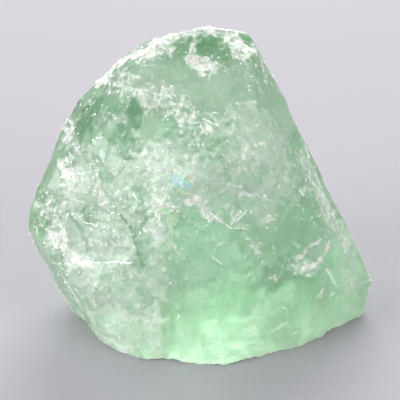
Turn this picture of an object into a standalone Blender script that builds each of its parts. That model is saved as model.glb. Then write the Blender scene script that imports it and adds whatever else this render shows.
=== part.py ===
"""A rough lump of green fluorite, 60 mm wide, as it stands on the face that it rests on.

The lump is one crystal that was broken out of a vein. It split along flat cleavage faces, shells
and slivers are chipped off it, and its edges are knocked and worn round. It is cut from a block
face by face, chipped, worn, and then set down on its flat foot. +Z is up and -Y is the front.
"""
import math

import bmesh
import bpy
from mathutils import Matrix, Vector, noise
from mathutils.bvhtree import BVHTree

for old in list(bpy.data.objects):
    bpy.data.objects.remove(old)

MM = 0.001
BLOCK = 120.0  # the side of the block that the faces are split from

# The faces that the lump split along: the way each one looks, as a bearing (0 is +X, 90 is +Y)
# and a lean above the level, both in degrees, and its distance from the centre in mm.
FOOT = (0, -90, 23.2)
FRONT_FACES = [
    (-92, 52, 19.0),
    (-64, 39, 18.8),
    (-119, 20, 16.9),
    (-95, 4, 15.8),
    (-66, 8, 14.8),
    (-48, 4, 19.4),
    (-150, -22, 27.3),
    (-120, -12, 23.1),
]
LEFT_FACES = [
    (-158, 59, 25.5),
    (-157, 42, 23.5),
    (-160, 32, 24.8),
    (-155, 6, 28.0),
]
RIGHT_FACES = [
    (-17, 28, 18.8),
    (-31, 55, 24.4),
    (15, 24, 21.0),
    (8, -18, 35.0),
]
BACK_FACES = [
    (79, 56, 31.2),
    (134, 35, 25.5),
    (155, 11, 24.9),
    (84, 8, 19.5),
    (118, -14, 21.0),
    (50, -8, 23.0),
    (95, 38, 24.0),
    (165, -25, 29.5),
]

# Shells that knocks chipped off: bearing and lean of the spot as seen from the centre, the
# radius of the round shell and how deep it bites, in mm.
FRONT_CHIPS = [
    (6, 16, 3.5, 0.8),
    (4, 7, 8.0, 0.5),
    (-5, -20, 7.0, 0.3),
    (-12, -41, 6.0, 0.5),
    (-30, -17, 5.0, 1.0),
    (-36, -26, 4.0, 0.6),
    (-49, -29, 7.0, 0.7),
    (-62, 15, 7.0, 0.6),
    (-87, 19, 8.0, 0.9),
    (-108, -50, 5.0, 0.9),
    (-127, -29, 12.0, 0.6),
    (-144, 9, 12.0, 0.8),
    (-150, -2, 5.0, 0.6),
    (-162, -4, 7.0, 0.9),
    (-169, 5, 5.0, 0.7),
    (-170, 19, 6.0, 0.9),
    (-170, 31, 4.0, 0.7),
    (-165, -42, 6.0, 0.8),
    (-140, -46, 6.0, 0.7),
]
TOP_CHIPS = [
    (168, 49, 4.0, 0.9),
    (28, 70, 7.0, 0.9),
    (62, 86, 3.5, 0.6),
    (50, 77, 4.5, 0.8),
    (122, 78, 5.0, 0.7),
    (157, 72, 4.0, 0.7),
    (-171, 60, 4.0, 0.6),
    (-150, 66, 3.0, 0.5),
    (-168, 42, 8.0, 0.7),
    (-120, 66, 3.5, 0.5),
    (-37, 50, 14.0, 0.5),
]
BACK_CHIPS = [
    (60, 20, 12.0, 1.2),
    (100, 38, 8.0, 1.0),
    (35, -25, 9.0, 1.0),
    (150, -20, 11.0, 1.1),
    (125, 8, 7.0, 0.9),
    (88, -12, 9.0, 1.0),
    (165, 20, 6.0, 0.9),
    (70, -38, 6.0, 0.9),
    (20, 40, 7.0, 0.7),
]

# Steps where a split jumped from one layer of the crystal to the next: bearing and lean of the
# spot, the turn of the step's edge in degrees, its length, its width and its height in mm.
LEDGES = [
    (-142, -12, 4, 12.0, 6.0, 1.0),
    (-150, 6, 8, 7.0, 4.0, 0.9),
    (-166, 21, 0, 6.0, 4.0, 0.8),
    (-80, 24, -28, 11.0, 5.0, 1.0),
    (-58, 4, -50, 9.0, 4.0, 0.8),
    (-28, -11, 35, 6.0, 3.0, 0.8),
    (-24, -6, 40, 6.0, 2.5, 0.7),
    (-12, -25, 70, 8.0, 3.5, 0.7),
    (-45, 66, 20, 12.0, 6.0, 0.9),
    (-130, 55, 40, 12.0, 6.0, 0.9),
    (75, 4, 12, 60.0, 14.0, 1.5),
    (105, 30, -25, 50.0, 9.0, 1.1),
    (140, -12, 70, 60.0, 11.0, 1.2),
    (45, -6, 80, 60.0, 10.0, 1.1),
]

WORN_GRAIN = 0.8  # the knocked edges are worn round to about this many mm
WORN_PASSES = 4
WAVES = [(9.0, 0.35), (3.2, 0.22)]  # the length and the height of the faces' waves, in mm
FOOT_WEAR = 0.5  # what is ground off the foot, which leaves it flat
TRIANGLES = 7200


def looking(bearing, lean):
    """The direction of a bearing and a lean in degrees."""
    flat = math.cos(math.radians(lean))
    turn = math.radians(bearing)
    return Vector((flat * math.cos(turn), flat * math.sin(turn), math.sin(math.radians(lean))))


def surface(shape, bearing, lean):
    """The spot where a line from the centre leaves the shape, and the face's direction there."""
    tree = BVHTree.FromBMesh(shape)
    way = looking(bearing, lean)
    point, normal, _, _ = tree.ray_cast(way * BLOCK * MM, -way)
    return point, normal


def cut_away(lump, cutter_shape, name):
    """Takes a cutter's shape off the lump."""
    mesh = bpy.data.meshes.new(name)
    cutter_shape.to_mesh(mesh)
    cutter_shape.free()
    cutter = bpy.data.objects.new(name, mesh)
    bpy.context.collection.objects.link(cutter)
    cutter.hide_render = True
    cutter.display_type = "WIRE"
    cut = lump.modifiers.new(name, "BOOLEAN")
    cut.operation = "DIFFERENCE"
    cut.solver = "EXACT"
    cut.object = cutter
    bpy.context.view_layer.objects.active = lump
    bpy.ops.object.modifier_apply(modifier=cut.name)
    bpy.data.objects.remove(cutter)


# The block, split face by face
split = bmesh.new()
bmesh.ops.create_cube(split, size=BLOCK * MM)
for bearing, lean, distance in [FOOT] + FRONT_FACES + LEFT_FACES + RIGHT_FACES + BACK_FACES:
    way = looking(bearing, lean)
    parts = split.verts[:] + split.edges[:] + split.faces[:]
    new = bmesh.ops.bisect_plane(
        split, geom=parts, dist=1e-7, plane_co=way * distance * MM, plane_no=way, clear_outer=True
    )
    rim = [part for part in new["geom_cut"] if isinstance(part, bmesh.types.BMEdge)]
    if rim:
        bmesh.ops.contextual_create(split, geom=rim)
bmesh.ops.remove_doubles(split, verts=split.verts, dist=0.05 * MM)
bmesh.ops.recalc_face_normals(split, faces=split.faces)
lump_mesh = bpy.data.meshes.new("fluorite")
split.to_mesh(lump_mesh)
lump = bpy.data.objects.new("fluorite", lump_mesh)
bpy.context.collection.objects.link(lump)

# The shells, each an uneven ball of small flats
for number, (bearing, lean, radius, bite) in enumerate(FRONT_CHIPS + TOP_CHIPS + BACK_CHIPS):
    point, normal = surface(split, bearing, lean)
    outward = (normal + looking(bearing, lean)).normalized()
    ball = bmesh.new()
    bmesh.ops.create_icosphere(ball, subdivisions=2, radius=radius * MM)
    for vert in ball.verts:
        lump_of_noise = noise.noise(vert.co / (radius * 0.7 * MM) + Vector((number * 7.3, 0, 0)))
        vert.co *= 1 + 0.12 * lump_of_noise
    ball.transform(Matrix.Translation(point + outward * (radius - bite) * MM))
    cut_away(lump, ball, "chip")

# The ledges, each cut by a slab that is sunk at the step's edge and rises to the face
for bearing, lean, turn, length, width, height in LEDGES:
    point, normal = surface(split, bearing, lean)
    level = Vector((0, 0, 1)).cross(normal).normalized()
    along = Matrix.Rotation(math.radians(turn), 3, normal) @ level
    across = normal.cross(along)
    axes = Matrix((along, across, normal)).transposed().to_4x4()
    slab = bmesh.new()
    bmesh.ops.create_cube(slab, size=1)
    slab.transform(Matrix.Diagonal((length * MM, width * 1.5 * MM, 6 * MM, 1)))
    slab.transform(Matrix.Translation((0, width * 0.75 * MM, 3 * MM)))
    slab.transform(Matrix.Rotation(math.atan2(height, width), 4, "X"))
    slab.transform(Matrix.Translation((0, 0, -height * MM)))
    slab.transform(Matrix.Translation(point) @ axes)
    cut_away(lump, slab, "ledge")
split.free()

# The wear, which rounds every edge by about a grain
worn = lump.modifiers.new("wear", "REMESH")
worn.mode = "VOXEL"
worn.voxel_size = WORN_GRAIN * MM
bpy.context.view_layer.objects.active = lump
bpy.ops.object.modifier_apply(modifier=worn.name)
softened = lump.modifiers.new("softened", "SMOOTH")
softened.factor = 0.5
softened.iterations = WORN_PASSES
bpy.ops.object.modifier_apply(modifier=softened.name)

# The faces' waves, which follow the layers that tore rather than split
rough = bmesh.new()
rough.from_mesh(lump.data)
rough.normal_update()
for vert in rough.verts:
    push = 0
    for length, height in WAVES:
        push += height * noise.noise(vert.co / (length * MM)) * MM
    vert.co += vert.normal * push
rough.to_mesh(lump.data)
rough.free()
thinned = lump.modifiers.new("thinned", "DECIMATE")
thinned.ratio = TRIANGLES / (2 * len(lump.data.polygons))
thinned.use_collapse_triangulate = True
bpy.ops.object.modifier_apply(modifier=thinned.name)

# The foot, ground flat, and the lump set down with the middle of its box over the origin
finished = bmesh.new()
finished.from_mesh(lump.data)
foot = Vector((0, 0, (FOOT_WEAR - FOOT[2]) * MM))
parts = finished.verts[:] + finished.edges[:] + finished.faces[:]
new = bmesh.ops.bisect_plane(
    finished, geom=parts, dist=0.02 * MM, plane_co=foot, plane_no=(0, 0, -1), clear_outer=True
)
rim = [part for part in new["geom_cut"] if isinstance(part, bmesh.types.BMEdge)]
bmesh.ops.contextual_create(finished, geom=rim)
for vert in finished.verts:
    if vert.co.z < foot.z + 0.03 * MM:
        vert.co.z = foot.z
bmesh.ops.remove_doubles(finished, verts=finished.verts, dist=0.05 * MM)
bmesh.ops.dissolve_degenerate(finished, edges=finished.edges, dist=0.02 * MM)
bmesh.ops.triangulate(finished, faces=finished.faces)
bmesh.ops.recalc_face_normals(finished, faces=finished.faces)
spread = [[vert.co[axis] for vert in finished.verts] for axis in range(3)]
middle = Vector((
    (min(spread[0]) + max(spread[0])) / 2,
    (min(spread[1]) + max(spread[1])) / 2,
    min(spread[2]),
))
bmesh.ops.translate(finished, verts=finished.verts, vec=-middle)
finished.to_mesh(lump.data)
finished.free()

# Pale green crystal
crystal = bpy.data.materials.new("fluorite")
crystal.use_nodes = True
look = crystal.node_tree.nodes["Principled BSDF"]
look.inputs["Base Color"].default_value = (0.42, 0.72, 0.50, 1)
look.inputs["Roughness"].default_value = 0.3
look.inputs["IOR"].default_value = 1.434
lump.data.materials.append(crystal)
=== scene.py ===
"""A rough lump of green fluorite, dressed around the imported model."""
import math
import random

import bpy
import numpy as np
from mathutils import Euler, Matrix, Vector, noise
from mathutils.bvhtree import BVHTree


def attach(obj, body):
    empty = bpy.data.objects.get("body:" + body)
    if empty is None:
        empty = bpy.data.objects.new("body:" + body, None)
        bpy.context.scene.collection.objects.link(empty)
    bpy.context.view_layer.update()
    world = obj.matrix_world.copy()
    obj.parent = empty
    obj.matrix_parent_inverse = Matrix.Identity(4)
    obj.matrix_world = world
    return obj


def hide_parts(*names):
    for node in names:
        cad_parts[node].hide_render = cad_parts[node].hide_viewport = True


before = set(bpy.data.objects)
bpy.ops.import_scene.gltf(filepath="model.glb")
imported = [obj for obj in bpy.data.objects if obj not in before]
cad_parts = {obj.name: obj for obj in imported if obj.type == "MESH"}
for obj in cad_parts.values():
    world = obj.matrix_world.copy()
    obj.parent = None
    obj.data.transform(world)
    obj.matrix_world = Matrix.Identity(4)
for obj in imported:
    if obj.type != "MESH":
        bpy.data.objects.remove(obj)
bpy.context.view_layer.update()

# The lump. It is one crystal of fluorite that was split out of a vein along its cleavage faces
# and then tumbled against its neighbours. Knocks left white bruises on its skin, with the crystal
# crushed and torn there, and the split faces between them stayed smooth. It rests on its flat foot.
MM = 0.001
SKIN_WELD = 0.001  # mm within which the solid's corners are welded
SKIN_GRAIN = 0.34  # mm between the points of the lump's skin
EASE = 0.5  # how far one easing pass moves a point towards its neighbours' middle
SKIN_EASE = 5  # passes that ease the solid's facets into worn stone
EDGE_EASE = 30  # passes that ease a copy, to find the edges that stand proud
EDGE_PROUD = 0.22  # mm by which a badly knocked edge stands proud of that copy
EDGE_WHITE = 0.55  # how white such an edge is
FRAY = 1.1  # how far the marks' outlines stray, in shares of their reach
FRAY_SCALE = 1.4  # mm, the size of their frays
FRAY_LAYERS = 3  # layers of ever finer fraying
SMALL_FRAY = 0.3  # how much of it the painted glow and the rainbows get
FADE = 1.5  # where a mark has faded out, in shares of its reach
SEARCH = 0.98  # an aim that misses the lump moves to this share of its way out, again and again
HEART = Vector((0.0, 1.0, 22.0))  # mm, the middle of the lump

CAMERA_FAR = 270.0  # mm from the camera to the middle of the view
CAMERA_DOWN = math.radians(28.0)  # how far the camera looks down
VIEW_MIDDLE = Vector((-0.6, -1.9, 22.7))  # mm, the spot that the camera looks at
VIEW_UP = Vector((0, math.sin(CAMERA_DOWN), math.cos(CAMERA_DOWN)))
EYE = VIEW_MIDDLE + Vector((0, -math.cos(CAMERA_DOWN), math.sin(CAMERA_DOWN))) * CAMERA_FAR

# The bruises in front: how far each one reaches in mm, how white it is, and the line that it
# follows, in mm across and up from the middle of the camera's view.
FRONT_BRUISES = [
    (1.2, 1.2, [(-17.5, 20.5), (-12, 25), (-6, 28.5), (2.5, 30)]),
    (1.7, 0.9, [(-9, 25), (-6, 27)]),
    (0.7, 0.9, [(-2, 25), (-0.5, 28)]),
    (1.3, 1.0, [(-1, 24), (2.5, 23)]),
    (1.8, 1.0, [(5, 29.5), (7, 26)]),
    (1.8, 0.7, [(-14, 21), (-11.5, 19)]),
    (2.2, 0.65, [(-10.5, 19), (-6, 17.5), (0, 12)]),
    (1.5, 0.5, [(-17.5, 15), (-15, 13)]),
    (1.6, 0.85, [(-24, 13.5), (-22.3, 9)]),
    (0.9, 1.2, [(-22.6, 9.6), (-21.2, 8.7)]),
    (1.6, 1.1, [(-23.5, 5.5), (-22.5, 4)]),
    (1.3, 0.7, [(-27, 1), (-26, -2)]),
    (1.5, 0.55, [(-27.5, -1), (-27.5, -5), (-26.5, -8)]),
    (4.5, 0.35, [(-20, 1), (-13, -3), (-8, -1)]),
    (3.0, 0.35, [(-12, 6), (-5, 8)]),
    (4.0, 0.25, [(-17, -16), (-11, -24)]),
    (1.6, 0.75, [(-24, -1), (-25.5, -6)]),
    (1.5, 1.1, [(-25, -5.5), (-20.5, -11)]),
    (1.4, 0.8, [(-23.5, -11), (-21.5, -17.5)]),
    (1.2, 0.7, [(-19, 4), (-16, -1)]),
    (0.8, 1.0, [(-17.5, -23.5), (-14.5, -26), (-7, -26.5)]),
    (1.2, 0.9, [(-1, 0), (2, -2.5)]),
    (1.5, 0.7, [(16.3, -10.7), (18.5, -12.3)]),
    (0.4, 1.1, [(16.5, -10.3), (18, -9.7), (19.3, -8), (21, -7.2)]),
    (0.4, 1.1, [(18.1, -12), (20.3, -11.2), (21.8, -9.6), (22.5, -7.6)]),
    (2.2, 0.72, [(18, 7), (20.5, 3), (22.5, -2)]),
    (0.8, 0.7, [(24.5, -6), (25.5, -9)]),
    (1.2, 0.6, [(27, -14), (25.5, -17)]),
    (0.5, 0.7, [(-20.6, -7.2), (-14, -7.9)]),
    (0.5, 0.8, [(-2, 1), (0.5, -1.5), (3, -3), (5, -5)]),
    (0.4, 0.9, [(3, -1.5), (6, -1), (5.5, -4), (7.5, -2)]),
    (0.4, 0.9, [(7, 1), (12, 0.5)]),
    (0.4, 0.8, [(11, 2), (12, -3)]),
    (0.6, 0.6, [(8.5, -7), (10.5, -9.5)]),
    (0.35, 0.9, [(22, -12), (24, -15)]),
    (0.35, 0.9, [(9, -22), (10.5, -23.5)]),
    (0.5, 0.5, [(3, 6), (7, 8), (11, 7)]),
    (0.4, 0.6, [(6, 12), (8, 9.5), (12, 10)]),
]
# Those behind, as bearings and leans in degrees from the lump's middle
BACK_BRUISES = [
    (1.6, 0.7, [(150, 22), (158, 8)]),
    (1.3, 0.8, [(160, -8), (152, -16)]),
    (0.7, 0.9, [(112, 33), (101, 30)]),
    (0.9, 0.8, [(92, 27), (80, 25)]),
    (0.5, 1.0, [(62, 8), (78, 5)]),
    (0.6, 0.9, [(84, 2), (93, 3)]),
    (1.4, 0.7, [(72, -12), (80, -22)]),
    (0.6, 0.9, [(128, -7), (143, -16)]),
    (1.3, 0.8, [(40, 10), (37, -3)]),
    (1.0, 0.9, [(15, 15), (9, 4)]),
    (1.0, 0.9, [(118, 56), (95, 62)]),
    (0.8, 0.9, [(75, 62), (60, 60)]),
]
# Small knocks, strewn all over
KNOCKS = 240
KNOCK_REACH = (0.25, 0.7)  # mm
KNOCK_LENGTH = (0.8, 3.5)  # mm
KNOCK_WHITE = (0.4, 1.0)
SEED = 8  # of every draw in this script, the frays' noise included
# The haze between the bruises in front, where the crystal just under the skin is full of fine
# cracks, and behind, given in the same ways
FRONT_HAZE = [
    (3.5, 0.75, [(-21, 6), (-20, -9)]),
    (5.0, 0.70, [(-15, -3), (-14, -20)]),
    (3.0, 0.50, [(-13, 8), (-8, 6)]),
    (1.6, 0.85, [(-7.5, 0), (-7.5, -12), (-8, -25)]),
    (4.5, 0.80, [(-5, 6), (3, 3)]),
    (5.5, 0.60, [(8, 14), (14, 4)]),
    (3.0, 0.60, [(20, 3), (25, -7), (27, -13)]),
    (4.0, 0.25, [(-8, 20), (6, 19)]),
    (5.0, 0.95, [(1, -6), (3, -10), (6, -13)]),
    (3.0, 0.45, [(5, 1), (12, -2)]),
    (4.0, 0.85, [(-20, -14), (-12, -25)]),
    (1.5, 0.8, [(-22, 12), (-25, 9)]),
]
BACK_HAZE = [
    (6.0, 0.7, [(150, 15), (155, -15)]),
    (6.0, 0.5, [(60, 0), (80, -25)]),
    (5.0, 0.5, [(110, 40), (70, 45)]),
    (4.0, 0.6, [(20, 10), (10, -20)]),
]
# Windows between the bruises, where the crystal stayed clear, given as the bruises in front are
CLEAR = [
    (3.0, 0.9, [(-13.5, 15), (-11.5, 12.5)]),
    (2.5, 0.8, [(-19.5, 15), (-17.5, 12.5)]),
    (3.0, 0.8, [(-27, 9), (-29, 2)]),
    (5.0, 0.4, [(3, -8), (8, -20)]),
    (1.4, 1.0, [(6.5, 19.2), (9.5, 18.4)]),
]
# The deep green zones and veins, partly the crystal's own darker colour and partly painted shade
DEEP_AND_SHADE = [
    (2.0, 0.9, [(-12.5, 15.5), (-13, 9.5)]),
    (2.2, 0.8, [(-18.5, 16.5), (-22.5, 8.5)]),
    (1.5, 0.45, [(-3, 29), (3, 26)]),
    (0.5, 0.7, [(-14, 14.5), (-16.8, 7)]),
    (0.4, 0.6, [(-23, -2), (-21, -5), (-19.5, -9)]),
    (0.4, 0.6, [(-11, 2), (-9.5, -3), (-10.5, -6)]),
    (1.5, 0.3, [(-19, 0), (-17, -3)]),
    (0.4, 0.5, [(1.5, 9), (4, 7), (5, 3.5)]),
    (1.2, 0.7, [(-19.5, -2.5), (-19, -3.5)]),
    (0.35, 0.8, [(-14, -2.5), (-11.5, -6), (-10, -11.5)]),
    (1.3, 0.45, [(8, -19), (11.5, -13), (15.5, -10.5)]),
    (0.8, 0.4, [(11, -17.5), (15, -13), (19, -14)]),
]
# A brighter green painted into the haze right of the milky zone, a painted glow for the light that
# shines through the crystal there
PAINTED_GLOW = [
    (5.5, 1.0, [(1, -6), (4, -10), (6, -13)]),
]
# The spots where a film of air just under the skin breaks the light into colours
RAINBOWS = [
    (1.4, 1.0, [(-4.4, 3.7), (-2.4, 2.5)]),
    (0.5, 0.8, [(-6.5, -1.5), (-5.4, -2.5), (-5.0, -5.5), (-5.9, -8.5)]),
    (0.5, 1.0, [(-17.2, 8), (-16.6, 7)]),
    (0.5, 1.0, [(-6.5, 9), (-5.6, 8.6)]),
    (0.5, 1.0, [(10.8, 24), (10.9, 23)]),
]
FOOT_RIM = 0.3  # mm up from the floor that the foot's wear reaches
FOOT_WHITE = 1.1  # how white the foot is, which is ground by every place the lump stood on
TORN = [  # the bruises' relief: its patterns, their scales and their heights in mm
    ("torn crystal", "CLOUDS", 2.2, 0.50),
    ("broken facets", "VORONOI", 1.3, 0.40),
]
WAVES = ("split waves", "CLOUDS", 7.0, 0.35)  # the relief of the whole skin, in the same way
PITS = ("pits", "STUCCI", 0.9, 0.09)


def only(piece):
    """Makes a piece the one that operators act on."""
    bpy.ops.object.select_all(action="DESELECT")
    piece.select_set(True)
    bpy.context.view_layer.objects.active = piece


def modify(piece, kind, **settings):
    """Adds a modifier and applies it."""
    only(piece)
    change = piece.modifiers.new(kind.lower(), kind)
    for name, value in settings.items():
        setattr(change, name, value)
    bpy.ops.object.modifier_apply(modifier=change.name)


def copied(piece, name):
    """A copy of a piece with its own mesh, on its own."""
    copy = piece.copy()
    copy.data = piece.data.copy()
    copy.name = name
    copy.parent = None
    for key in list(copy.keys()):
        if key.startswith("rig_"):
            del copy[key]
    bpy.context.scene.collection.objects.link(copy)
    return copy


def relief(piece, name, kind, scale, height, group=""):
    """Raises and sinks a piece's surface by a pattern of that scale and height in mm."""
    pattern = bpy.data.textures.new(name, kind)
    pattern.noise_scale = scale * MM
    modify(piece, "DISPLACE", texture=pattern, texture_coords="LOCAL", strength=height * MM,
           mid_level=0.5, vertex_group=group)


def numbers(items, name, width=3):
    """One value of every point or face of a mesh, as an array."""
    flat = np.empty(width * len(items))
    items.foreach_get(name, flat)
    return flat.reshape(-1, width)


def seen(across, up):
    """The spot of the skin that the camera sees that far from the middle of its view."""
    spot = None
    while spot is None:
        aim = VIEW_MIDDLE + Vector((across, 0, 0)) + VIEW_UP * up
        spot = skin.ray_cast(EYE * MM, aim - EYE)[0]
        across, up = across * SEARCH, up * SEARCH
    return spot / MM


def looking(bearing, lean):
    """The direction of a bearing and a lean in degrees."""
    flat, turn = math.cos(math.radians(lean)), math.radians(bearing)
    return Vector((flat * math.cos(turn), flat * math.sin(turn), math.sin(math.radians(lean))))


def around(bearing, lean):
    """The spot of the skin that lies that way from the lump's middle."""
    return skin.ray_cast(HEART * MM, looking(bearing, lean))[0] / MM


def marked(points, stray, marks, place):
    """How strongly the marks cover each of some points, with the outlines strayed."""
    strength = np.zeros(len(points))
    for reach, white, line in marks:
        spots = [np.array(place(*spot)) for spot in line]
        strayed = points + FRAY * reach * stray
        for start, end in zip(spots, spots[1:]):
            way = end - start
            along = np.clip((strayed - start) @ way / (way @ way), 0, 1)
            far = np.linalg.norm(strayed - start - along[:, None] * way, axis=1)
            near = np.clip(FADE - far / reach, 0, 1)
            strength = np.maximum(strength, white * near * near * (3 - 2 * near))
    return strength


lump = copied(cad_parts["fluorite"], "crystal")
only(lump)
bpy.ops.object.mode_set(mode="EDIT")
bpy.ops.mesh.select_all(action="SELECT")
bpy.ops.mesh.remove_doubles(threshold=SKIN_WELD * MM)
bpy.ops.object.mode_set(mode="OBJECT")
lump.data.materials.clear()
modify(lump, "REMESH", mode="VOXEL", voxel_size=SKIN_GRAIN * MM)
modify(lump, "SMOOTH", factor=EASE, iterations=SKIN_EASE)
skin = BVHTree.FromObject(lump, bpy.context.evaluated_depsgraph_get())

eased = copied(lump, "eased")
modify(eased, "SMOOTH", factor=EASE, iterations=EDGE_EASE)
points = numbers(lump.data.vertices, "co") / MM
noise.seed_set(SEED)
stray = np.array([
    noise.turbulence_vector(Vector(point) / FRAY_SCALE, FRAY_LAYERS, False) for point in points
])
dice = random.Random(SEED)
knocks = []
for number in dice.choices(range(len(points)), k=KNOCKS):
    start = Vector(points[number])
    way = Vector([dice.gauss(0, 1) for _ in range(3)]).normalized()
    end = start + way * dice.uniform(*KNOCK_LENGTH)
    end = skin.find_nearest(end * MM)[0] / MM
    knocks.append((dice.uniform(*KNOCK_REACH), dice.uniform(*KNOCK_WHITE), [start, end]))
proud = points - numbers(eased.data.vertices, "co") / MM
proud = (proud * numbers(lump.data.vertices, "normal")).sum(axis=1)
bpy.data.objects.remove(eased)
bruise = np.maximum(marked(points, stray, FRONT_BRUISES, seen),
                    marked(points, stray, BACK_BRUISES, around))
bruise = np.maximum(bruise, marked(points, stray, knocks, lambda *spot: spot))
bruise = np.maximum(bruise, EDGE_WHITE * np.clip(proud / EDGE_PROUD, 0, 1))
opened = 1 - marked(points, stray, CLEAR, seen)
bruise *= opened
bruise[points[:, 2] < FOOT_RIM] = FOOT_WHITE
haze = np.maximum(marked(points, stray, FRONT_HAZE, seen), marked(points, stray, BACK_HAZE, around))
haze *= opened
deep_and_shade = marked(points, stray, DEEP_AND_SHADE, seen)
painted_glow = marked(points, stray * SMALL_FRAY, PAINTED_GLOW, seen)
rainbow = marked(points, stray * SMALL_FRAY, RAINBOWS, seen)
group = lump.vertex_groups.new(name="bruised")
for number, amount in enumerate(bruise):
    group.add([number], float(min(amount, 1)), "REPLACE")
fields = {"bruise": bruise, "haze": haze, "deep_and_shade": deep_and_shade, "painted_glow": painted_glow, "rainbow": rainbow}
for name, values in fields.items():
    lump.data.attributes.new(name, "FLOAT", "POINT").data.foreach_set("value", values)

relief(lump, *WAVES)
for pattern in TORN:
    relief(lump, *pattern, "bruised")
relief(lump, *PITS)
points = numbers(lump.data.vertices, "co")  # the foot stays flat on the floor
points[:, 2] = np.maximum(points[:, 2], 0)
lump.data.vertices.foreach_set("co", points.ravel())
only(lump)
bpy.ops.object.shade_smooth()


def linear(colour):
    """An sRGB hex colour as the linear numbers that a shader reads."""
    parts = [int(colour[i:i + 2], 16) / 255 for i in (1, 3, 5)]
    return [x / 12.92 if x <= 0.04045 else ((x + 0.055) / 1.055) ** 2.4 for x in parts] + [1]


def material(name):
    """A new material, its node tree, its shader and its output."""
    made = bpy.data.materials.new(name)
    made.use_nodes = True
    tree = made.node_tree
    return made, tree, tree.nodes["Principled BSDF"], tree.nodes["Material Output"]


def add(tree, kind, settings=(), **inputs):
    """Adds a node with its settings. An input is set or linked by its label or, as _0, its number."""
    made = tree.nodes.new("ShaderNode" + kind)
    for name, value in dict(settings).items():
        setattr(made, name, value)
    for name, value in inputs.items():
        key = int(name[1:]) if name[1:].isdigit() else name.replace("_", " ")
        if isinstance(value, bpy.types.NodeSocket):
            tree.links.new(value, made.inputs[key])
        else:
            made.inputs[key].default_value = value
    return made


def worked(tree, operation, *values):
    """What a sum makes of up to three numbers."""
    inputs = {f"_{slot}": value for slot, value in enumerate(values)}
    return add(tree, "Math", {"operation": operation}, **inputs).outputs[0]


def mapped(tree, value, start=0.0, end=1.0, low=0.0, high=1.0):
    """A number that runs from low to high while the value runs from start to end."""
    return add(tree, "MapRange", Value=value, From_Min=start, From_Max=end, To_Min=low,
               To_Max=high).outputs["Result"]


def mixed(tree, share, under, over, blend="MIX"):
    """One colour laid over another by a share."""
    settings = {"data_type": "RGBA", "blend_type": blend}
    return add(tree, "Mix", settings, _0=share, _6=under, _7=over).outputs[2]


def field(tree, name):
    """How strongly the skin carries one kind of mark."""
    return add(tree, "Attribute", {"attribute_name": name}).outputs["Fac"]


# Frosted fluorite. It gives the eye a milky green crystal: see-through and greener with depth
# where it is clear, veiled in the haze, and white and granular where it is crushed.
FEATHERS = 600.0  # per metre, for torn layers 1.7 mm wide
GRAINS = 1600.0  # for 0.6 mm, coarser than real crushed grains, which a pixel couldn't show
BENDS = 300.0  # for 3 mm, the bends of the crackle
BEND = 5.0  # mm by which it bends at most
CRACKLE = 330.0  # for cells of 3 mm between the cracks
HUES = 500.0  # for 2 mm
MURK = 450.0  # for 2 mm, the clouds of the haze
GRIT = 1500.0  # for 0.7 mm
CHIPS = 900.0  # for 1.1 mm
FACETS = 260.0  # for small facets of 4 mm
BUMP = 0.10  # mm

crystal, tree, shader, output = material("frosted fluorite")
place = add(tree, "TexCoord").outputs["Object"]
bruised = field(tree, "bruise")
hazy = field(tree, "haze")
grains = add(tree, "TexNoise", Vector=place, Scale=GRAINS, Detail=3.0, Roughness=0.7)
grains = grains.outputs["Fac"]
hues = add(tree, "TexNoise", Vector=place, Scale=HUES, Detail=2.0, Roughness=0.6)
bend = add(tree, "TexNoise", Vector=place, Scale=BENDS, Detail=3.0)
bent = add(tree, "VectorMath", {"operation": "MULTIPLY_ADD"}, _0=bend.outputs["Color"],
           _1=[BEND * MM] * 3, _2=place).outputs[0]

# Its white: feathers and grains in the bruises, and lines of crackle in the haze
feathers = add(tree, "TexNoise", {"noise_type": "RIDGED_MULTIFRACTAL"}, Vector=place,
               Scale=FEATHERS, Detail=6.0, Roughness=0.8, Lacunarity=2.3, Offset=0.9, Gain=1.6,
               Distortion=0.5)
mottle = worked(tree, "MULTIPLY_ADD", feathers.outputs["Fac"], 0.45, grains)
crackle = add(tree, "TexVoronoi", {"feature": "DISTANCE_TO_EDGE"}, Vector=bent, Scale=CRACKLE)
crackle = crackle.outputs["Distance"]
broken = worked(tree, "MULTIPLY", mapped(tree, hues.outputs["Fac"], 0.46, 0.58), hazy)
line = mapped(tree, crackle, end=0.08, low=0.9, high=0.0)
line = worked(tree, "MULTIPLY_ADD", line, broken, bruised)
cover = mapped(tree, worked(tree, "ADD", mottle, line), 1.3, 2.3)

# Its colours: a painted glow of light shining through, the deep green zones with their painted shade,
# painted shadow along the crackle, and the rainbows
colour = mixed(tree, cover, linear("#E7F1E6"), linear("#FCFBF4"))
colour = mixed(tree, 0.3, colour, hues.outputs["Color"], "OVERLAY")
# painted glow: a brighter green laid into the haze where light shines through the crystal
green = worked(tree, "MULTIPLY", field(tree, "painted_glow"), mapped(tree, cover, low=1.0, high=0.2))
colour = mixed(tree, green, colour, linear("#CDF5D3"))
# painted shadow: dark lines along the crackle, as if its little ledges cast shade
crackle_shadow = worked(tree, "MULTIPLY", mapped(tree, crackle, end=0.03, low=0.7, high=0.0), broken)
colour = mixed(tree, crackle_shadow, colour, linear("#7F9C86"))
# darker green, partly the crystal's own zones and veins and partly painted shade
colour = mixed(tree, field(tree, "deep_and_shade"), colour, linear("#7BA987"))
ring = field(tree, "rainbow")
turn = worked(tree, "MULTIPLY_ADD", ring, 0.8, worked(tree, "ADD", grains, 0.22))
turn = worked(tree, "FRACT", turn)
bands = add(tree, "CombineColor", {"mode": "HSV"}, _0=turn, _1=0.55, _2=0.85).outputs["Color"]
share = mapped(tree, ring, end=0.5, high=0.65)
share = worked(tree, "MULTIPLY", share, mapped(tree, grains, 0.36, 0.52))
colour = mixed(tree, share, colour, bands)

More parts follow.
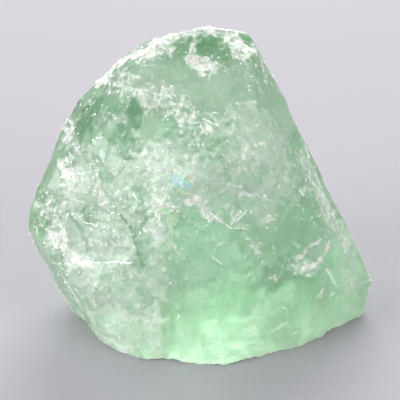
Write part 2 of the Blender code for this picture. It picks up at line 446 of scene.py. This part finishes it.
# How far it is see-through, and how glossy
murk = add(tree, "TexNoise", Vector=place, Scale=MURK, Detail=6.0, Roughness=0.8, Distortion=0.6)
solid = worked(tree, "MULTIPLY", hazy, mapped(tree, murk.outputs["Fac"], 0.36, 0.62, 0.15))
solid = worked(tree, "MAXIMUM", solid, cover)
solid = worked(tree, "MAXIMUM", solid, share)
clear = mapped(tree, solid, low=0.95, high=0.15)
gloss = mapped(tree, cover, low=0.30, high=0.45)

# Its grit and chips, and the small facets that lean where it is torn
grit = add(tree, "TexNoise", Vector=place, Scale=GRIT, Detail=3.0, Roughness=0.7)
chips = add(tree, "TexVoronoi", Vector=place, Scale=CHIPS, Randomness=1.0)
height = worked(tree, "MULTIPLY", chips.outputs["Distance"], solid)
height = worked(tree, "MULTIPLY_ADD", height, 3.0, grit.outputs["Fac"])
bump = add(tree, "Bump", Height=height, Strength=0.6, Distance=BUMP * MM)
cell = add(tree, "TexVoronoi", Vector=bent, Scale=FACETS)
lean = add(tree, "VectorMath", {"operation": "SUBTRACT"}, _0=cell.outputs["Color"],
           _1=(0.5, 0.5, 0.5))
torn = worked(tree, "MULTIPLY_ADD", worked(tree, "MAXIMUM", bruised, hazy), 0.55, 0.06)
lean = add(tree, "VectorMath", {"operation": "SCALE"}, _0=lean.outputs[0], Scale=torn)
facet = add(tree, "VectorMath", {"operation": "ADD"}, _0=bump.outputs["Normal"],
            _1=lean.outputs[0])
facet = add(tree, "VectorMath", {"operation": "NORMALIZE"}, _0=facet.outputs[0])
tree.links.new(colour, shader.inputs["Base Color"])
tree.links.new(clear, shader.inputs["Transmission Weight"])
tree.links.new(gloss, shader.inputs["Roughness"])
tree.links.new(facet.outputs[0], shader.inputs["Normal"])
shader.inputs["IOR"].default_value = 1.434
shader.inputs["Coat Weight"].default_value = 0.3
shader.inputs["Coat Roughness"].default_value = 0.06
depth = add(tree, "VolumeAbsorption", Color=linear("#78F8A3"), Density=14.0)
tree.links.new(depth.outputs["Volume"], output.inputs["Volume"])
lump.data.materials.append(crystal)
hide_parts("fluorite")
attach(lump, "root")

# The cleavage cracks. Where the crystal began to split it holds thin flat films of air, which
# throw back a milky light from inside and end in a sharp line. Each is a thin closed sheet, shut
# in by the crystal around it.
CRACK_GRAIN = 0.5  # mm between the points of a sheet
CRACK_GAP = 0.03  # mm between a crack's two faces
CRACK_MARGIN = 0.35  # mm that a sheet stays under the skin
CRACK_WAVES = ("crack waves", "CLOUDS", 9.0, 1.6)  # its relief, given as the skin's is
# Each sheet's middle in mm, the bearing and lean that it faces, its turn, its width and height
CRACKS = [
    ((-16.0, -8.5, 17.5), (-100, 14), 4, 22.0, 34.0),
    ((-14.0, -3.0, 30.0), (-130, 35), 20, 20.0, 16.0),
    ((8.0, -4.0, 33.0), (-75, 40), -15, 16.0, 14.0),
    ((14.0, 0.0, 16.0), (-60, 10), 30, 18.0, 12.0),
]
SMALL_CRACKS = 90
FOOT_CLEAR = 0.8  # mm up from the floor that small cracks and glints keep clear of
SMALL_DEPTH = (0.8, 4.0)  # mm under the skin
SMALL_WIDTH = (1.5, 5.0)  # mm
SMALL_SHAPE = (0.4, 1)  # their heights, in shares of their widths
BARE_CHANCE = 0.05  # how likely one lies where nothing is bruised, beside 1 in a full bruise
SPLIT_WAYS = [(-60, 20), (40, 30), (150, 15), (-130, 50)]  # how the four cleavages look


def crack(middle, facing, turn, width, height):
    """A gently waved sheet inside the lump, cut off where it would come near the skin."""
    bpy.ops.object.select_all(action="DESELECT")
    bpy.ops.mesh.primitive_grid_add(x_subdivisions=int(width / CRACK_GRAIN),
                                    y_subdivisions=int(height / CRACK_GRAIN), size=1)
    sheet = bpy.context.object
    sheet.name = "crack"
    look = looking(*facing)
    across = Vector((0, 0, 1)).cross(look).normalized()
    axes = Matrix((across, look.cross(across), look)).transposed().to_4x4()
    sheet.data.transform(Matrix.Diagonal((width * MM, height * MM, 1, 1)))
    sheet.data.transform(Matrix.Rotation(math.radians(turn), 4, "Z"))
    sheet.data.transform(axes)
    sheet.data.transform(Matrix.Translation(Vector(middle) * MM))
    relief(sheet, *CRACK_WAVES)
    bpy.ops.object.mode_set(mode="EDIT")
    bpy.ops.mesh.select_mode(type="VERT")
    bpy.ops.mesh.select_all(action="DESELECT")
    bpy.ops.object.mode_set(mode="OBJECT")
    for vert in sheet.data.vertices:
        near, normal, _, _ = skin.find_nearest(vert.co)
        vert.select = (vert.co - near).dot(normal) > -CRACK_MARGIN * MM
    bpy.ops.object.mode_set(mode="EDIT")
    bpy.ops.mesh.delete(type="VERT")
    bpy.ops.mesh.select_all(action="SELECT")
    bpy.ops.mesh.delete_loose(use_verts=True, use_edges=True, use_faces=False)
    bpy.ops.object.mode_set(mode="OBJECT")
    modify(sheet, "SOLIDIFY", thickness=CRACK_GAP * MM, offset=0)
    bpy.ops.object.shade_smooth()
    return sheet


def joined(pieces, name):
    """Some pieces as one."""
    bpy.ops.object.select_all(action="DESELECT")
    for piece in pieces:
        piece.select_set(True)
    bpy.context.view_layer.objects.active = pieces[0]
    bpy.ops.object.join()
    pieces[0].name = name
    return pieces[0]


chances = BARE_CHANCE + numbers(lump.data.attributes["bruise"].data, "value", 1)[:, 0]
chances[numbers(lump.data.vertices, "co")[:, 2] < FOOT_CLEAR * MM] = 0
places = range(len(chances))
sheets = [crack(*sizes) for sizes in CRACKS]
for number in dice.choices(places, weights=chances.tolist(), k=SMALL_CRACKS):
    spot = lump.data.vertices[number]
    middle = spot.co / MM - spot.normal * dice.uniform(*SMALL_DEPTH)
    width = dice.uniform(*SMALL_WIDTH)
    facing = SPLIT_WAYS[dice.randrange(len(SPLIT_WAYS))]
    turn = dice.uniform(0, 90)
    sheets.append(crack(middle, facing, turn, width, width * dice.uniform(*SMALL_SHAPE)))
cracks = joined(sheets, "cleavage_cracks")

# Air film in fluorite. It gives the eye a pale milky veil, thicker in some clouds than in others.
CLOUDS = 170.0  # per metre, for clouds of 6 mm
film, tree, shader, output = material("air film in fluorite")
place = add(tree, "TexCoord").outputs["Object"]
cloud = add(tree, "TexNoise", Vector=place, Scale=CLOUDS, Detail=5.0, Roughness=0.62,
            Distortion=0.8)
cover = mapped(tree, cloud.outputs["Fac"], 0.40, 0.66, 0.10, 0.68)
tree.links.new(cover, shader.inputs["Alpha"])
shader.inputs["Base Color"].default_value = linear("#EAF7EC")
shader.inputs["Roughness"].default_value = 0.25
cracks.data.materials.append(film)
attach(cracks, "root")

# The glints. Scraps of cleavage face, up to about a millimetre long, stand out of the skin,
# most of them in the bruises, painted white for the sparkle of light off them. Each is a thin
# closed plate that clings to the crystal under it and leans towards one of the ways that fluorite
# splits.
GLINTS = 2600
GLINT_LENGTH = (0.15, 0.9)  # mm
GLINT_WIDTH = (0.08, 0.26)  # mm
GLINT_LEAN = 0.25  # how far they lean from the skin's own way
GLINT_STRAY = 0.4  # how far their long sides stray
GLINT_LIFT = 0.04  # mm that they stand out of the skin
SCRAP_SIDES = 5
SCRAP_THICK = 0.05  # mm
SCRAP_TOP = (0.7, 0.8, 1)  # the size of a scrap's outer face, in shares of its inner one
CLEAVAGES = [(1, 1, 1), (-1, 1, 1), (1, -1, 1), (1, 1, -1)]  # the crystal's own directions
CRYSTAL_TURN = (0.5, -0.3, 0.4)  # how it lies in the lump, in radians about X, Y and Z
# Films of air that are seen edge on, each a line of scraps whose painted white stands for their
# bright edge, given as the bruises are
LINE_SCRAPS = 2.2  # per mm
LINE_LENGTH = (0.4, 1.2)  # mm
LINE_WIDTH = (0.1, 0.3)  # mm
LINE_SHIFT = 0.4  # how far a scrap shifts along its line, in shares of a step
LINE_STRAY = 0.15  # mm that it strays off it
LINE_LIFT = 0.1  # mm that it stands out of the skin
BRIGHT_LINES = [
    ((-22.5, 4.5), (-18, 5)),
    ((-20, -11), (-12, -11)),
    ((-20, -4), (-18, -4.5)),
    ((2, -2.5), (5, -4.7)),
    ((5, -4.7), (8.5, -5.2)),
    ((6.5, -3.5), (8, -2)),
    ((9, -8), (10.2, -9)),
    ((2.3, -10), (3.7, -11.2)),
    ((19.4, -8), (20.8, -7.3)),
    ((21.8, -9.6), (22.5, -7.6)),
    ((22.5, -12.8), (23.4, -14.2)),
    ((7.2, -14), (7.6, -14.2)),
    ((14.5, -18.7), (15.2, -19)),
    ((13.8, -21.2), (14.2, -21.6)),
    ((9, -22.5), (10, -23.5)),
    ((16.3, -23.3), (16.7, -23.1)),
    ((2.2, -24.5), (2.8, -24.9)),
    ((23.2, -4.6), (23.4, -5.2)),
    ((25.4, -6.8), (25.8, -7.6)),
    ((5, 3), (7, 2.2)),
    ((1, 14), (3, 13)),
    ((10.7, 24.2), (11, 22.8)),
]
ways = [Vector(way).normalized() for way in CLEAVAGES]
tilt = Euler(CRYSTAL_TURN).to_matrix()
bpy.ops.object.select_all(action="DESELECT")
bpy.ops.mesh.primitive_circle_add(vertices=SCRAP_SIDES, radius=1, fill_type="NGON")
scrap = bpy.context.object
bpy.ops.object.mode_set(mode="EDIT")
bpy.ops.mesh.select_all(action="SELECT")
bpy.ops.mesh.extrude_region_move(TRANSFORM_OT_translate={"value": (0, 0, SCRAP_THICK * MM)})
bpy.ops.transform.resize(value=SCRAP_TOP)
bpy.ops.mesh.select_all(action="SELECT")
bpy.ops.mesh.normals_make_consistent(inside=False)
bpy.ops.object.mode_set(mode="OBJECT")


def flake(spot, facing, along, length, width):
    """A scrap of crystal in some spot, with its outer face and its long side those ways."""
    across = facing.cross(along).normalized()
    axes = Matrix((across.cross(facing), across, facing)).transposed().to_4x4()
    copy = copied(scrap, "glint")
    copy.data.transform(Matrix.Diagonal((length / 2 * MM, width / 2 * MM, 1, 1)))
    copy.data.transform(Matrix.Translation(spot) @ axes)
    return copy


scraps = []
for number in dice.choices(places, weights=chances.tolist(), k=GLINTS):
    spot = lump.data.vertices[number]
    facing = (spot.normal + GLINT_LEAN * tilt @ ways[dice.randrange(len(ways))]).normalized()
    along = tilt @ ways[dice.randrange(len(ways))]
    along = along + GLINT_STRAY * Vector([dice.uniform(-1, 1) for _ in range(3)])
    length = dice.uniform(*GLINT_LENGTH)
    lifted = spot.co + GLINT_LIFT * MM * spot.normal
    scraps.append(flake(lifted, facing, along, length, dice.uniform(*GLINT_WIDTH)))
for start, end in BRIGHT_LINES:
    count = math.ceil(LINE_SCRAPS * math.dist(start, end)) + 1
    for step in range(count):
        part = (step + dice.uniform(-LINE_SHIFT, LINE_SHIFT)) / (count - 1)
        where = []
        for first, last in zip(start, end):
            where.append(first + (last - first) * part + dice.uniform(-LINE_STRAY, LINE_STRAY))
        spot = seen(*where) * MM
        _, facing, _, _ = skin.find_nearest(spot)
        along = (seen(*end) - seen(*start)).normalized()
        length = dice.uniform(*LINE_LENGTH)
        lifted = spot + LINE_LIFT * MM * facing
        scraps.append(flake(lifted, facing, along, length, dice.uniform(*LINE_WIDTH)))
bpy.data.objects.remove(scrap)
glints = joined(scraps, "glints")

# Painted glint: plain white that stands in for the hard sparkle of light off bare cleavage faces.
painted_glint, tree, shader, output = material("painted glint white")
shader.inputs["Base Color"].default_value = linear("#FFFFFF")
shader.inputs["Roughness"].default_value = 0.3
shader.inputs["Specular IOR Level"].default_value = 1.0
glints.data.materials.append(painted_glint)
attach(glints, "root")

# The floor, the light and the camera. Plain paper lies a hair under the foot. Three soft lamps
# stand around the lump and above it, and a large one behind it makes its foot glow.
FLOOR_SIDE = 3.0  # m
FLOOR_DROP = 0.05  # mm
bpy.ops.object.select_all(action="DESELECT")
bpy.ops.mesh.primitive_plane_add(size=FLOOR_SIDE, location=(0, 0, -FLOOR_DROP * MM))
floor = bpy.context.object
floor.name = "floor"

# Pale paper. It gives the eye a plain light grey.
paper, tree, shader, output = material("pale paper")
shader.inputs["Base Color"].default_value = linear("#A3A1A7")
shader.inputs["Roughness"].default_value = 0.8
floor.data.materials.append(paper)

world = bpy.data.worlds.new("studio")
bpy.context.scene.world = world
world.use_nodes = True
world.node_tree.nodes["Background"].inputs["Color"].default_value = linear("#EAE9EA")
world.node_tree.nodes["Background"].inputs["Strength"].default_value = 0.61

# The soft square lamps: the name, the side in m, the power in W and the place in m
LAMPS = [
    ("window", 0.30, 0.7, (-0.35, 0.20, 0.45)),
    ("key", 0.30, 2.2, (-0.45, -0.20, 0.24)),
    ("fill", 0.40, 1.4, (0.40, -0.35, 0.30)),
    ("back", 0.80, 13.0, (0.15, 0.90, 0.50)),
]
LAMP_AIM = Vector((0, 0, 0.025))  # m, the spot that they all look at
for name, side, power, place in LAMPS:
    light = bpy.data.lights.new(name, "AREA")
    light.size = side
    light.energy = power
    lamp = bpy.data.objects.new(name, light)
    bpy.context.scene.collection.objects.link(lamp)
    lamp.location = place
    lamp.rotation_euler = (LAMP_AIM - Vector(place)).to_track_quat("-Z", "Y").to_euler()

VIEW_WIDTH = 70.0  # mm, the width of the view at its middle
lens = bpy.data.cameras.new("camera")
lens.sensor_width = 36.0
lens.lens = lens.sensor_width * CAMERA_FAR / VIEW_WIDTH
lens.clip_start = 0.01
camera = bpy.data.objects.new("camera", lens)
bpy.context.scene.collection.objects.link(camera)
camera.location = EYE * MM
camera.rotation_euler = (math.radians(90) - CAMERA_DOWN, 0, 0)
bpy.context.scene.camera = camera
bpy.context.scene.view_settings.view_transform = "Standard"
